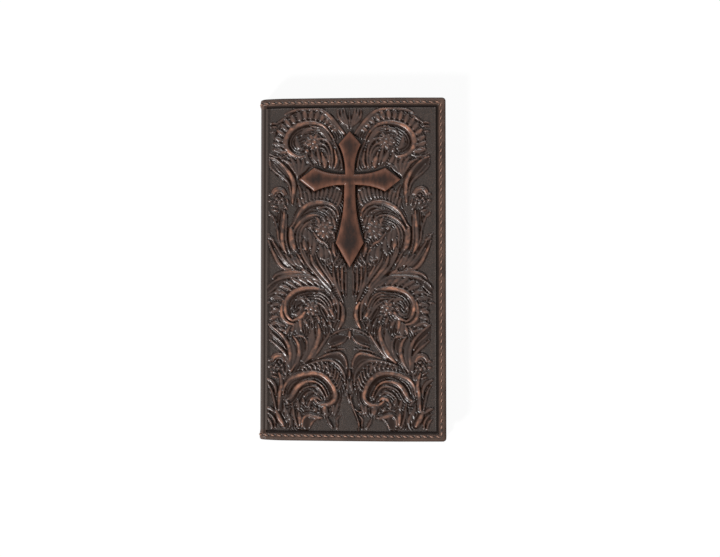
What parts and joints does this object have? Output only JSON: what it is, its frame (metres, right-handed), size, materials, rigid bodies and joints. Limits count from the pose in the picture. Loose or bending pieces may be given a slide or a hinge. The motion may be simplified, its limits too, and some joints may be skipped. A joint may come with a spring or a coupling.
{
  "type": "rodeo wallet",
  "caption": "Tall leather bifold wallet with tooled covers, a smooth cross overlay, a sewn border, shingled card pockets, an ID window and full-length slip pockets.",
  "frame": {"origin": "on the surface that the closed wallet lies on, below its middle", "axes": "+X from the spine to the fore-edge, +Y up the cover to its top edge, +Z out of the front cover"},
  "size_m": [0.0958, 0.178, 0.0168],
  "materials": {
    "tooled_leather": "antiqued dark brown, satin, burnished copper-brown high spots",
    "smooth_leather": "smooth dark brown with burnished edges, satin",
    "inner_leather": "fine grain dark brown, semi-matte",
    "lining_cloth": "woven cloth, matte",
    "clear_vinyl": "clear, glossy",
    "thread": "waxed sewing thread, copper brown"
  },
  "bodies": {
    "back_half": {"back_cover": "tooled_leather", "back_fold": "tooled_leather", "back_lining": "lining_cloth", "back_bill_panel": "inner_leather", "back_card_liner": "inner_leather", "id_window": "clear_vinyl", "id_window_frame": "inner_leather", "back_card_pocket_1": "inner_leather", "back_card_pocket_2": "inner_leather", "back_card_pocket_3": "inner_leather"},
    "spine": {"spine_panel": "tooled_leather", "spine_lining": "lining_cloth"},
    "front_half": {"front_cover": "tooled_leather", "front_fold": "tooled_leather", "cross_overlay": "smooth_leather", "front_lining": "lining_cloth", "front_bill_panel": "inner_leather", "front_card_liner": "inner_leather", "front_card_pocket_1": "inner_leather", "front_card_pocket_2": "inner_leather", "front_card_pocket_3": "inner_leather", "front_card_pocket_4": "inner_leather", "front_card_pocket_5": "inner_leather", "front_card_pocket_6": "inner_leather"}
  },
  "joints": [
    {"name": "spine_opening", "type": "hinge", "parent": "back_half", "child": "spine", "pos_m": [-0.0465, 0, 0.0014], "axis": [0, -1, 0], "range_deg": [0, 89], "deforming": ["back_fold"]},
    {"name": "cover_opening", "type": "hinge", "parent": "spine", "child": "front_half", "pos_m": [-0.0465, 0, 0.01393], "axis": [0, -1, 0], "range_deg": [0, 89], "deforming": ["front_fold"]}
  ],
  "couplings": [
    {"joint": "cover_opening", "follows": "spine_opening", "ratio": 1}
  ]
}
